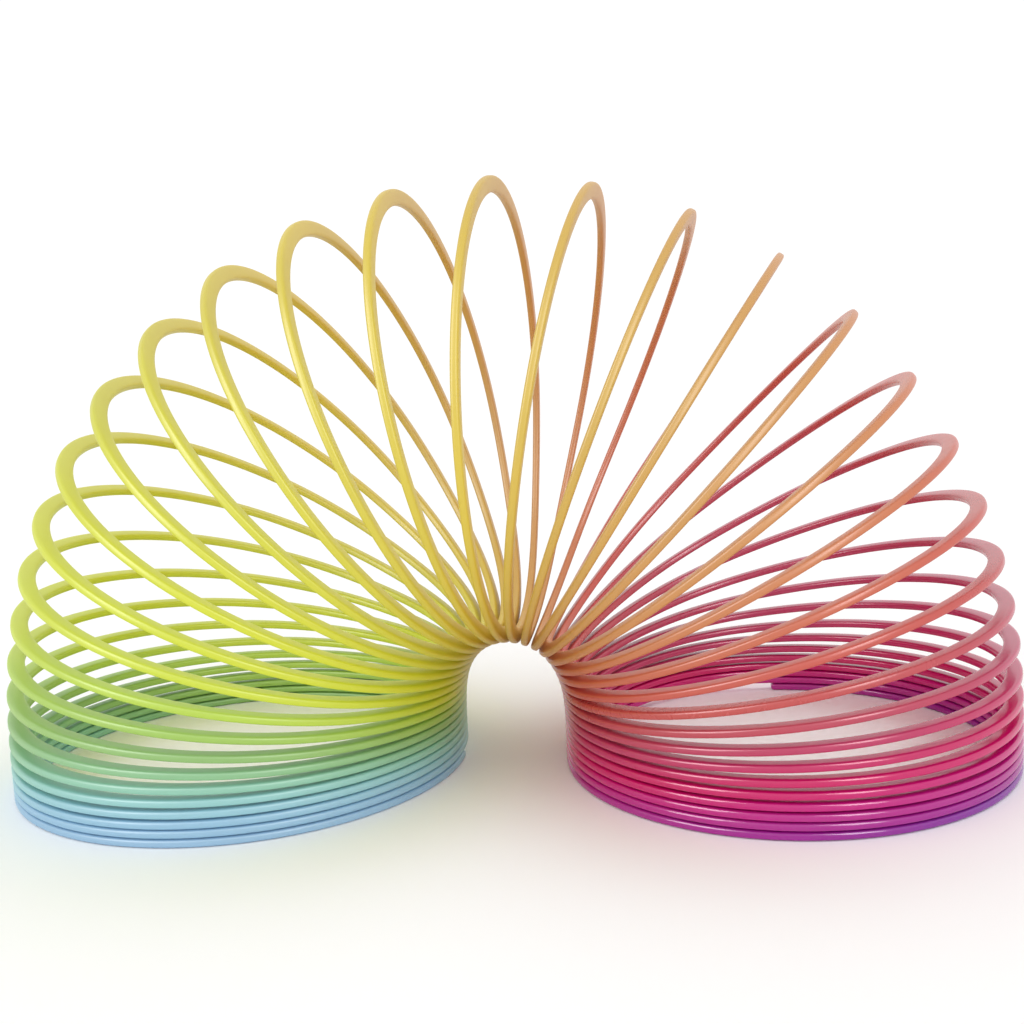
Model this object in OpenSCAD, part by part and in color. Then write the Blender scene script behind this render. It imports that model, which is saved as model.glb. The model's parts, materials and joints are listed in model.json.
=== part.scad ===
// Spring coil toy: one long plastic strip wound into a flat helix, bent over into an arch that
// stands on its two closed ends. Millimetres, +Z up. The origin is on the ground, under the
// middle of the arch. +X runs from the left foot to the right foot, and -Y is the front.
//
// The strip is one piece. It is divided once a turn, where a turn leaves the one before it on
// the inner side of the arch, and each turn is a node that hinges there.

/* [Strip] */
// Outside diameter of the coil
coil_d = 75; // [50:1:110]
// Width of the strip, across the wall of the coil
strip_w = 2.6; // [1.6:0.1:3.6]
// Thickness of the strip, along the coil
strip_t = 1.3; // [0.8:0.05:1.8]
// Gap between two closed turns
turn_gap = 0.08; // [0.06:0.02:0.3]

/* [Turns] */
// Turns stacked in each foot, its end turn included
foot_turns = 6; // [4:1:9]
// Turns of the arch
arch_turns = 25; // [18:1:30]
// Share of a turn over which the strip climbs onto the turn before it
climb = 0.25; // [0.15:0.05:0.5]

/* [Arch] */
// Turns at the top of each foot that already start to open
opening_turns = 3.2; // [0:0.1:3.5]
// How far the bend gathers at the top of the arch, from 0 for an even bend to 1
gather = 0.95; // [0:0.01:1]
// Angle by which the top of the arch leans to the left
lean = 3.5; // [0:0.5:6]

/* [Motion] */
// Angle by which one turn in a foot can lift off the turn before it
foot_lift = 2; // [0:0.5:3]
// Share of its own bend by which a turn of the arch can open further
extra_bend = 0.1; // [0:0.05:0.2]

/* [Colours] */
// Colours along the strip, at equal steps from the left end to the right end
strip_colours = [
    [0.60, 0.78, 0.92],
    [0.56, 0.85, 0.55],
    [0.93, 0.92, 0.25],
    [1.00, 0.86, 0.22],
    [1.00, 0.66, 0.33],
    [0.93, 0.34, 0.36],
    [0.80, 0.22, 0.56]
];

/* [Hidden] */
// Rings of points along one turn
rings = 40;
// Turns from the ground up over the arch and down to the ground again. Each end of the strip
// also lies flat on the ground for what a turn leaves beside its climb.
full_turns = 2 * foot_turns - 1 + arch_turns;
strip_turns = full_turns + 1 - climb;
last_ring = round(strip_turns * rings);
// Rise of one closed turn
pitch = strip_t + turn_gap;
coil_r = coil_d / 2;
// The bend is spread over this many turns
bend_turns = arch_turns + 2 * opening_turns;
section = [
    [strip_w / 2, -strip_t / 2],
    [strip_w / 2, strip_t / 2],
    [-strip_w / 2, strip_t / 2],
    [-strip_w / 2, -strip_t / 2]
];

NODES = [
    "left_end_coil",
    for (i = [2 : foot_turns]) str("left_foot_coil_", i),
    for (i = [1 : arch_turns]) str("arch_coil_", i),
    for (i = [foot_turns : -1 : 2]) str("right_foot_coil_", i),
    "right_end_coil"
];

// A smooth step from 0 to 1
function eased(x) = x - sin(360 * x) / (2 * PI);
function total(values) = values * [for (value = values) 1];

// Closed turns climbed after so many turns: the strip runs level, then climbs at each turn's end
function climbed_at(turns) =
    floor(turns) + eased(max(turns - floor(turns) - 1 + climb, 0) / climb);

// Angle of the coil after so many turns, where the bend has its middle after some other number:
// 0 is upright and 180 upside down
function bend_about(middle, turns) =
    let (
        share = min(max((turns - middle) / bend_turns + 0.5, 0), 1),
        symmetric = 180 * (share - gather * sin(360 * share) / (2 * PI))
    )
    symmetric - lean * sin(symmetric) ^ 2;

// How many closed turns the right end would stand above the left end
function rise_about(middle) = total([
    for (k = [0 : last_ring - 1])
        (climbed_at((k + 1) / rings) - climbed_at(k / rings))
            * cos(bend_about(middle, (k + 0.5) / rings))
]);

// The bend moves along the strip until both ends stand on the same ground. A turn taken from one
// foot goes to the other, so half of the rise is left out each time.
function levelled(middle, times) =
    times == 0 ? middle : levelled(middle - rise_about(middle) / 2, times - 1);
bend_middle = levelled(strip_turns / 2, 6);
function bend_at(turns) = bend_about(bend_middle, turns);

// Direction of the coil's own axis, and the direction away from the middle of the arch
function axis_at(bend) = [sin(bend), 0, cos(bend)];
function outward_at(bend) = [-cos(bend), 0, sin(bend)];

// The line on the inner side of the arch along which the turns touch, a point for each ring
touch_line = [
    for (
        k = 0, p = [0, 0, strip_t / 2];
        k <= last_ring;
        p = p + pitch * (climbed_at((k + 1) / rings) - climbed_at(k / rings))
            * axis_at(bend_at((k + 0.5) / rings)),
        k = k + 1
    )
        p
];

// The four corners of the strip at one ring
function corners(k) =
    let (
        bend = bend_at(k / rings),
        across = -cos(360 * k / rings) * outward_at(bend) - [0, sin(360 * k / rings), 0],
        middle = touch_line[k] + coil_r * outward_at(bend) + (coil_r - strip_w / 2) * across
    )
    [for (c = section) middle + c[0] * across + c[1] * axis_at(bend)];

all_corners = [for (k = [0 : last_ring]) each corners(k)];
function middle_of(values) = (min(values) + max(values)) / 2;
centre = [middle_of([for (p = all_corners) p.x]), 0, 0];

// Hinge between turn j and turn j - 1: it lies along Y at the touching edge. A turn closes until
// it lies on the one before it. Each entry is [node, point, lowest angle, highest angle].
function hinge_point(j) = touch_line[j * rings] - centre;
function closing(j) = min(bend_at(j) - bend_at(j - 1), bend_at(j + 1) - bend_at(j));
function in_foot(j) = j < foot_turns || j > foot_turns + arch_turns;
hinges = [
    for (j = [1 : full_turns])
        [
            NODES[j],
            hinge_point(j),
            in_foot(j) ? 0 : -closing(j),
            in_foot(j) ? foot_lift : extra_bend * closing(j)
        ]
];

function mixed(colours, place) =
    let (i = min(floor(place), len(colours) - 2))
    colours[i] + (place - i) * (colours[i + 1] - colours[i]);
function colour_of(turn) =
    mixed(strip_colours, (turn + 0.5) / (full_turns + 1) * (len(strip_colours) - 1));

// One turn of the strip, from its hinge to the next one, or to the strip's end
module strip_turn(turn) {
    first = turn * rings;
    last = min(first + rings, last_ring);
    n = len(section);
    sides = [
        for (k = [0 : last - first - 1], i = [0 : n - 1])
            let (
                a = k * n + i,
                b = k * n + (i + 1) % n
            )
            each [[a, b, b + n], [a, b + n, a + n]]
    ];
    end = (last - first) * n;
    translate(-centre)
        polyhedron(
            points = [for (k = [first : last]) each corners(k)],
            faces = concat(
                sides,
                [[2, 1, 0], [3, 2, 0]],
                [[end, end + 1, end + 2], [end, end + 2, end + 3]]
            ),
            convexity = 4
        );
}

// The turn that the left foot stands on, with the cut end of the strip
module left_end_coil() {
    color(colour_of(0)) strip_turn(0);
}

// A turn stacked in the left foot
module left_foot_coil(turn) {
    color(colour_of(turn)) strip_turn(turn);
}

// A turn of the arch, open like a fan towards its outer side
module arch_coil(turn) {
    color(colour_of(turn)) strip_turn(turn);
}

// A turn stacked in the right foot
module right_foot_coil(turn) {
    color(colour_of(turn)) strip_turn(turn);
}

// The turn that the right foot stands on, with the other cut end of the strip
module right_end_coil() {
    color(colour_of(full_turns)) strip_turn(full_turns);
}

left_end_coil();
for (turn = [1 : foot_turns - 1])
    left_foot_coil(turn);
for (turn = [foot_turns : foot_turns + arch_turns - 1])
    arch_coil(turn);
for (turn = [foot_turns + arch_turns : full_turns - 1])
    right_foot_coil(turn);
right_end_coil();
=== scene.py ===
"""A rainbow spring coil toy, standing as an arch on its two closed ends.

The whole toy is one plastic strip. Lengths are in metres, and +Z is up.
"""
import json
import math

import bpy
import numpy as np
from mathutils import Matrix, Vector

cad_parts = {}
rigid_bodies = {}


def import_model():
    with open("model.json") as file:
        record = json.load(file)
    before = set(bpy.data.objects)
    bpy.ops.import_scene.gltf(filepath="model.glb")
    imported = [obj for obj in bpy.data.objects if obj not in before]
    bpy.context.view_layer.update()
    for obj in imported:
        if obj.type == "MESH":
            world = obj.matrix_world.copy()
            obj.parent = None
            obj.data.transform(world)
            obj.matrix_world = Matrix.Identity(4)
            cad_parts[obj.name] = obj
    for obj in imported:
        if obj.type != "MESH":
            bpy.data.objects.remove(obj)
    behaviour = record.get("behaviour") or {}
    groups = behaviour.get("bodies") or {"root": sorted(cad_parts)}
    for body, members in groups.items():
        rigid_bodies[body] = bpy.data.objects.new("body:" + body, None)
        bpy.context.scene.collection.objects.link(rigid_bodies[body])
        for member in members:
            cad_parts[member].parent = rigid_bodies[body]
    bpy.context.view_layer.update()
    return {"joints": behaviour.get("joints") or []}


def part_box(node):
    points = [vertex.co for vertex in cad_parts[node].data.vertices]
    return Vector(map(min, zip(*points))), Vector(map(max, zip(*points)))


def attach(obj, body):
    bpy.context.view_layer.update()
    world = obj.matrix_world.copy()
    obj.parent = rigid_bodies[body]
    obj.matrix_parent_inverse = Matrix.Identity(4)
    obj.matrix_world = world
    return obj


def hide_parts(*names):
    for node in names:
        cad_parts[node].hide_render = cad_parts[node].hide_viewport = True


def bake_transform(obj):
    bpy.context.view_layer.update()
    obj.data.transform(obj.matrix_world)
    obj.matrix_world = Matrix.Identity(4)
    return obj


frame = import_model()

# ---------------------------------------------------------------------------------------------
# The run of the strip
# The strip is extruded flat and wound hot on a drum, so its closed turns lie on one another. The
# standing arch bends it through half a circle, and the turns then touch only on the inner side.
# ---------------------------------------------------------------------------------------------
left_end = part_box("left_end_coil")
coil_radius = (left_end[1].y - left_end[0].y) / 2
strip_width = 0.0026
strip_thickness = 0.0013
turn_gap = 0.00008
pitch = strip_thickness + turn_gap

hinges = frame["joints"]
turn_names = [hinges[0]["parent"]] + [hinge["child"] for hinge in hinges]
climb = 0.25                          # share of a turn over which the strip climbs a level
strip_turns = len(turn_names) - climb
bend_turns = 31.4                     # turns that share the bend
gather = 0.95                         # how far the bend gathers at the top
lean = math.radians(3.5)              # the top of the arch leans to the left
steps_per_turn = 160
levelling_passes = 6


def eased(x):
    """A smooth step from 0 to 1: x less a full sine wave."""
    return x - np.sin(2 * np.pi * x) / (2 * np.pi)


def climbed(turns):
    """Levels climbed: the whole turns, and a smooth step over the last part of the turn."""
    part = turns - np.floor(turns)
    return np.floor(turns) + eased(np.maximum(part - 1 + climb, 0) / climb)


def bend(turns, middle):
    """Angle of the coil: half a circle, gathered by a sine wave about the middle, and less
    the lean times the square of its own sine."""
    share = np.clip((turns - middle) / bend_turns + 0.5, 0, 1)
    symmetric = np.pi * (share - gather * np.sin(2 * np.pi * share) / (2 * np.pi))
    return symmetric - lean * np.sin(symmetric) ** 2


# The bend moves along the strip until both ends stand on the same ground
stations = np.arange(round(strip_turns * steps_per_turn) + 1) / steps_per_turn
halfway = (stations[1:] + stations[:-1]) / 2
rises = np.diff(climbed(stations))
bend_middle = strip_turns / 2
for _ in range(levelling_passes):
    bend_middle -= (rises * np.cos(bend(halfway, bend_middle))).sum() / 2

# The line on the inner side of the arch along which the turns touch
bends = bend(halfway, bend_middle)
line_x = np.append(0, np.cumsum(pitch * rises * np.sin(bends)))
line_z = np.append(0, np.cumsum(pitch * rises * np.cos(bends))) + strip_thickness / 2
line_x += hinges[0]["pos_m"][0] - line_x[steps_per_turn]


def strip_frame(turns):
    """For each place on the strip: the middle of its section, the direction across the strip
    away from the coil's axis, and the direction of that axis. The direction across turns round
    the axis once a turn, by a cosine and a sine wave."""
    angle = 2 * np.pi * turns
    bends = bend(turns, bend_middle)
    zero = np.zeros_like(turns)
    axis = np.stack([np.sin(bends), zero, np.cos(bends)], 1)
    outward = np.stack([-np.cos(bends), zero, np.sin(bends)], 1)
    across = -np.cos(angle)[:, None] * outward
    across[:, 1] -= np.sin(angle)
    touch = np.stack([np.interp(turns, stations, line_x), zero,
                      np.interp(turns, stations, line_z)], 1)
    middle = touch + coil_radius * outward + (coil_radius - strip_width / 2) * across
    return middle, across, axis


# ---------------------------------------------------------------------------------------------
# The plastic
# Polystyrene, dyed right through in one run of colours from sky blue to violet. The run is tilted
# round the coil, so its back is ahead of its front, except in the right foot. The die has left
# faint lines along the strip.
# ---------------------------------------------------------------------------------------------
lead = 3.6                            # turns the dye is ahead beside the left end, half the most
dye_turns = strip_turns + 2 * lead
dye_run = [                           # turns from the left end, and the colour on a paint chart
    (0.0, (152, 189, 218)),
    (2.25, (150, 193, 221)),
    (3.25, (152, 200, 216)),
    (4.25, (151, 205, 205)),
    (5.25, (146, 202, 179)),
    (6.25, (142, 194, 143)),
    (7.25, (146, 189, 111)),
    (8.25, (161, 199, 89)),
    (9.25, (183, 212, 72)),
    (10.25, (205, 219, 55)),
    (12.25, (213, 219, 43)),
    (14.25, (211, 210, 52)),
    (16.25, (214, 200, 61)),
    (18.25, (217, 191, 59)),
    (20.25, (207, 168, 69)),
    (22.25, (204, 149, 78)),
    (23.25, (204, 141, 78)),
    (24.25, (203, 126, 77)),
    (25.25, (202, 104, 73)),
    (26.25, (201, 87, 72)),
    (27.25, (195, 76, 75)),
    (28.25, (190, 67, 88)),
    (29.25, (189, 54, 97)),
    (30.25, (197, 37, 99)),
    (31.25, (205, 18, 99)),
    (32.25, (204, 12, 106)),
    (33.25, (199, 18, 125)),
    (34.25, (188, 31, 137)),
    (35.25, (175, 34, 143)),
    (36.25, (159, 26, 147)),
    (37.5, (111, 56, 164)),
]


def dye_shift(turns):
    """Turns by which the dye is ahead: an amount times 1 less a sine wave, so it is 0 at the
    front of the coil. The amount falls along the strip and turns over in the right foot, where
    a cosine wave is added."""
    amount = np.interp(turns, (0, 6, 24, 32), (lead, 1.8, 2.2, -1.0))
    sideways = np.interp(turns, (24, 32), (0, -1.2))
    wave = 2 * np.pi * turns
    return amount * (1 - np.sin(wave)) + sideways * np.cos(wave)


def chart(colour):
    """The linear colour of a paint-chart colour, by the usual screen curve."""
    share = np.array(colour) / 255
    linear = np.where(share <= 0.04045, share / 12.92, ((share + 0.055) / 1.055) ** 2.4)
    return (*linear, 1)


def add_node(tree, kind, values):
    """A new shader node, with the inputs in values set."""
    node = tree.nodes.new("ShaderNode" + kind)
    for name, value in values.items():
        node.inputs[name].default_value = value
    return node


def join(tree, output, socket):
    tree.links.new(output, socket)


def drawn_plastic():
    """Node group: die lines, drawn out along the strip's own map, clouding and scuffs.
    Out come a mask that darkens the dye, one that dulls the gloss, and a height."""
    group = bpy.data.node_groups.new("drawn_plastic", "ShaderNodeTree")
    face = group.interface
    for name, value in (("Line spacing", 900.0), ("Cloud size", 60.0)):
        face.new_socket(name, in_out="INPUT", socket_type="NodeSocketFloat").default_value = value
    for name in ("Cloud", "Dulling", "Height"):
        face.new_socket(name, in_out="OUTPUT", socket_type="NodeSocketFloat")
    entry = group.nodes.new("NodeGroupInput")
    leave = group.nodes.new("NodeGroupOutput")

    strip_map = add_node(group, "UVMap", {})
    strip_map.uv_map = "strip"
    drawn = add_node(group, "Mapping", {"Scale": (0.04, 1.0, 1.0)})
    lines = add_node(group, "TexNoise", {"Detail": 3.0})
    join(group, strip_map.outputs["UV"], drawn.inputs["Vector"])
    join(group, drawn.outputs["Vector"], lines.inputs["Vector"])
    join(group, entry.outputs["Line spacing"], lines.inputs["Scale"])
    join(group, lines.outputs["Fac"], leave.inputs["Height"])

    where = add_node(group, "TexCoord", {})
    clouds = add_node(group, "TexNoise", {"Detail": 2.0})
    join(group, where.outputs["Object"], clouds.inputs["Vector"])
    join(group, entry.outputs["Cloud size"], clouds.inputs["Scale"])
    join(group, clouds.outputs["Fac"], leave.inputs["Cloud"])

    scuffs = add_node(group, "TexNoise", {"Scale": 420.0, "Detail": 2.0, "Roughness": 0.7})
    dull = add_node(group, "MapRange", {"From Min": 0.45, "From Max": 0.75})
    join(group, where.outputs["Object"], scuffs.inputs["Vector"])
    join(group, scuffs.outputs["Fac"], dull.inputs["Value"])
    join(group, dull.outputs["Result"], leave.inputs["Dulling"])
    return group


def rainbow_plastic():
    """The one material of the strip: its dye, clouded a little, with gloss that grows towards
    the violet end."""
    material = bpy.data.materials.new("rainbow_plastic")
    material.use_nodes = True
    tree = material.node_tree
    shader = tree.nodes["Principled BSDF"]
    shader.inputs["IOR"].default_value = 1.59
    surface = add_node(tree, "Group", {})
    surface.node_tree = drawn_plastic()

    # The dye, from the share of the run that the mesh carries
    place = add_node(tree, "Attribute", {})
    place.attribute_name = "dye"
    ramp = add_node(tree, "ValToRGB", {})
    stops = ramp.color_ramp.elements
    while len(stops) > 1:
        stops.remove(stops[-1])
    for turns, colour in dye_run:
        stop = stops[0] if turns == 0 else stops.new(turns / dye_turns)
        stop.position = turns / dye_turns
        stop.color = chart(colour)
    clouding = add_node(tree, "MapRange", {"To Min": 0.94, "To Max": 1.04})
    dyed = add_node(tree, "VectorMath", {})
    dyed.operation = "SCALE"
    join(tree, place.outputs["Fac"], ramp.inputs["Fac"])
    join(tree, surface.outputs["Cloud"], clouding.inputs["Value"])
    join(tree, ramp.outputs["Color"], dyed.inputs[0])
    join(tree, clouding.outputs["Result"], dyed.inputs["Scale"])
    join(tree, dyed.outputs["Vector"], shader.inputs["Base Color"])

    # The gloss, which the scuffs dull
    gloss = add_node(tree, "MapRange", {"From Min": 0.5, "From Max": 0.75,
                                        "To Min": 0.40, "To Max": 0.12})
    scuffed = add_node(tree, "Math", {})
    scuffed.operation = "MULTIPLY_ADD"
    scuffed.inputs[1].default_value = 0.03
    join(tree, place.outputs["Fac"], gloss.inputs["Value"])
    join(tree, surface.outputs["Dulling"], scuffed.inputs[0])
    join(tree, gloss.outputs["Result"], scuffed.inputs[2])
    join(tree, scuffed.outputs["Value"], shader.inputs["Roughness"])

    # The die lines
    bump = add_node(tree, "Bump", {"Strength": 0.03, "Distance": 0.00002})
    join(tree, surface.outputs["Height"], bump.inputs["Height"])
    join(tree, bump.outputs["Normal"], shader.inputs["Normal"])
    return material


plastic = rainbow_plastic()

# ---------------------------------------------------------------------------------------------
# The turns
# The section is a flat bar with round edges. It is shown in half turns, cut where a turn touches
# the one before it and where it is farthest from it. The first half is attached to the first turn
# and the last half to the last turn; the other halves stay where they are built.
# ---------------------------------------------------------------------------------------------
squareness = 3.6                      # 2 would be an ellipse
outline_points = 36
rings_per_half = 72
outline_angle = 2 * np.pi * np.arange(outline_points) / outline_points


def squared_oval(half_size, wave):
    """Half the size times the wave, with its own size raised to 2 / squareness: that swells an
    ellipse out towards its box."""
    return half_size * np.sign(wave) * np.abs(wave) ** (2 / squareness)


outline = np.stack([squared_oval(strip_width / 2, np.cos(outline_angle)),
                    squared_oval(strip_thickness / 2, np.sin(outline_angle))], 1)
outline_edges = np.linalg.norm(np.roll(outline, -1, 0) - outline, axis=1)
round_the_outline = np.append(0, np.cumsum(outline_edges))
turn_length = 2 * np.pi * (coil_radius - strip_width / 2)

tip_radius = strip_thickness / 2      # the strip's two free ends are rounded over this length
tip_shrink = 0.9 * tip_radius         # and the outline shrinks by this much on each side
tip_rings = 7


def add_object(name, data):
    thing = bpy.data.objects.new(name, data)
    bpy.context.scene.collection.objects.link(thing)
    return thing


def strip_piece(name, places):
    """The section's outline carried along the strip, a ring at each place, and closed with a
    face at both ends. Near a free end of the strip the outline shrinks by a quarter circle."""
    middle, across, axis = strip_frame(places)
    to_tip = turn_length * np.minimum(places, strip_turns - places)
    inside = np.clip(1 - to_tip / tip_radius, 0, 1)
    shrink = tip_shrink * (1 - np.sqrt(1 - inside ** 2))
    size_x = (1 - shrink / (strip_width / 2))[:, None, None]
    size_z = (1 - shrink / (strip_thickness / 2))[:, None, None]
    points = (middle[:, None] + size_x * outline[None, :, :1] * across[:, None]
              + size_z * outline[None, :, 1:] * axis[:, None])

    count = len(places)
    ring, spot = np.meshgrid(np.arange(count - 1), np.arange(outline_points), indexing="ij")
    ring, spot = ring.ravel(), spot.ravel()
    following = (spot + 1) % outline_points
    sides = np.stack([ring * outline_points + spot, ring * outline_points + following,
                      (ring + 1) * outline_points + following,
                      (ring + 1) * outline_points + spot], 1)
    first_face = np.arange(outline_points)[::-1]
    last_face = np.arange(outline_points) + (count - 1) * outline_points
    mesh = bpy.data.meshes.new(name)
    mesh.from_pydata(points.reshape(-1, 3).tolist(), [],
                     sides.tolist() + [first_face.tolist(), last_face.tolist()])

    # Smooth sides that stay unshaded by the flat ends
    mesh.polygons.foreach_set("use_smooth", np.append(np.ones(len(sides), bool), [False] * 2))
    edges = np.empty(2 * len(mesh.edges), np.int32)
    mesh.edges.foreach_get("vertices", edges)
    rings = edges.reshape(-1, 2) // outline_points
    is_rim = (rings[:, 0] == rings[:, 1]) & ((rings[:, 0] == 0) | (rings[:, 0] == count - 1))
    mesh.attributes.new("sharp_edge", "BOOLEAN", "EDGE").data.foreach_set("value", is_rim)

    # The strip's own map, in metres: along the strip, and round its section
    run = turn_length * places
    along_u = np.stack([run[ring], run[ring], run[ring + 1], run[ring + 1]], 1)
    round_v = np.stack([round_the_outline[spot], round_the_outline[spot + 1],
                        round_the_outline[spot + 1], round_the_outline[spot]], 1)
    ends = np.concatenate([outline[::-1] + run[0], outline + run[-1]])
    strip_map = np.concatenate([np.stack([along_u.ravel(), round_v.ravel()], 1), ends])
    mesh.uv_layers.new(name="strip").uv.foreach_set("vector", strip_map.ravel())

    dye = (places + dye_shift(places)) / dye_turns
    mesh.attributes.new("dye", "FLOAT", "POINT").data.foreach_set(
        "value", np.repeat(dye, outline_points))
    mesh.materials.append(plastic)
    mesh.validate()
    return add_object(name, mesh)


def half_turn_places(first, last):
    """Even steps, and closer ones round a free end of the strip: a quarter circle's cosine."""
    places = np.linspace(first, last, max(round((last - first) * 2 * rings_per_half), 2) + 1)
    near_tip = tip_radius * (1 - np.cos(np.linspace(0, np.pi / 2, tip_rings))) / turn_length
    if first == 0:
        places = np.concatenate([near_tip, places[1:]])
    if last == strip_turns:
        places = np.concatenate([places[:-1], last - near_tip[::-1]])
    return places


def middle_at(turns):
    """The middle of the section at one place on the strip."""
    return strip_frame(np.array([turns]))[0][0]


for turn, name in enumerate(turn_names):
    outer = middle_at(turn + 0.5)

    # The front half, from the hinge to the outer side
    front = strip_piece(name + "_front", half_turn_places(turn, turn + 0.5))
    if turn == 0:
        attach(front, name)
    else:
        hinge = middle_at(turn)
        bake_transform(front)

    # The back half, from the outer side to the next turn's hinge
    back = strip_piece(name + "_back", half_turn_places(turn + 0.5, min(turn + 1, strip_turns)))
    if turn == len(turn_names) - 1:
        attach(back, name)
    else:
        hinge = middle_at(turn + 1)
        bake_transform(back)

    for half in (front, back):
        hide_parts(name)

# ---------------------------------------------------------------------------------------------
# The studio
# A white table in a white room. The front light only fills the shadows, without a highlight. The
# two soft boxes only show as highlights: the two columns of short streaks down each foot.
# ---------------------------------------------------------------------------------------------
table_edge = 3.0
table_mesh = bpy.data.meshes.new("table")
table_mesh.from_pydata([(-table_edge, -table_edge, 0), (table_edge, -table_edge, 0),
                        (table_edge, table_edge, 0), (-table_edge, table_edge, 0)],
                       [], [(0, 1, 2, 3)])
paper = bpy.data.materials.new("white_paper")
paper.use_nodes = True
paper_shader = paper.node_tree.nodes["Principled BSDF"]
paper_shader.inputs["Base Color"].default_value = (1, 1, 1, 1)
paper_shader.inputs["Roughness"].default_value = 1.0
paper_shader.inputs["Specular IOR Level"].default_value = 0.0
table_mesh.materials.append(paper)
add_object("table", table_mesh)

room = bpy.data.worlds.new("white_room")
room.use_nodes = True
room_light = room.node_tree.nodes["Background"]
room_light.inputs["Color"].default_value = (1, 1, 1, 1)
room_light.inputs["Strength"].default_value = 1.05
bpy.context.scene.world = room
bpy.context.scene.view_settings.view_transform = "Standard"


def standing(sideways, upward, backward, place):
    """The matrix of a light or a camera at a place, with its own three axes in its columns."""
    matrix = np.eye(4)
    matrix[:3] = np.stack([sideways, upward, backward, place], 1)
    return Matrix(matrix.tolist())


def soft_box(name, azimuth, elevation, distance, width, height, power):
    """A rectangular light that faces the toy. Azimuth 0 is the front, and 90 the right."""
    light = bpy.data.lights.new(name, "AREA")
    light.shape = "RECTANGLE"
    light.size = width
    light.size_y = height
    light.energy = power
    turned = math.radians(azimuth)
    raised = math.radians(elevation)
    back = np.array([math.sin(turned) * math.cos(raised),
                     -math.cos(turned) * math.cos(raised), math.sin(raised)])
    sideways = np.array([math.cos(turned), math.sin(turned), 0])
    box = add_object(name, light)
    box.matrix_world = standing(sideways, np.cross(back, sideways), back, distance * back)
    return box


front_fill = soft_box("front_fill", azimuth=7, elevation=20, distance=0.8,
                      width=0.3, height=0.3, power=0.35)
front_fill.visible_glossy = False
left_soft_box = soft_box("left_soft_box", azimuth=-48, elevation=33, distance=0.62,
                         width=0.32, height=0.60, power=4.2)
left_soft_box.visible_diffuse = False
right_soft_box = soft_box("right_soft_box", azimuth=32, elevation=33, distance=0.62,
                          width=0.21, height=0.60, power=2.8)
right_soft_box.visible_diffuse = False

# ---------------------------------------------------------------------------------------------
# The camera
# It stands close in front, a little to the right of the middle, and looks slightly down.
# ---------------------------------------------------------------------------------------------
camera_place = (0.0266, -0.2062, 0.0735)
pan = math.radians(-3.43)
tilt = math.radians(9.25)
roll = math.radians(-2.03)
lens = bpy.data.cameras.new("camera")
lens.sensor_width = 36.0
lens.lens = 44.5
lens.shift_x = -0.078
lens.shift_y = 0.011
lens.clip_start = 0.01
lens.clip_end = 20.0
forward = np.array([math.sin(pan) * math.cos(tilt), math.cos(pan) * math.cos(tilt),
                    -math.sin(tilt)])
level = np.array([math.cos(pan), -math.sin(pan), 0])
upward = np.cross(level, forward)
camera = add_object("camera", lens)
camera.matrix_world = standing(math.cos(roll) * level + math.sin(roll) * upward,
                               math.cos(roll) * upward - math.sin(roll) * level,
                               -forward, camera_place)
bpy.context.scene.camera = camera
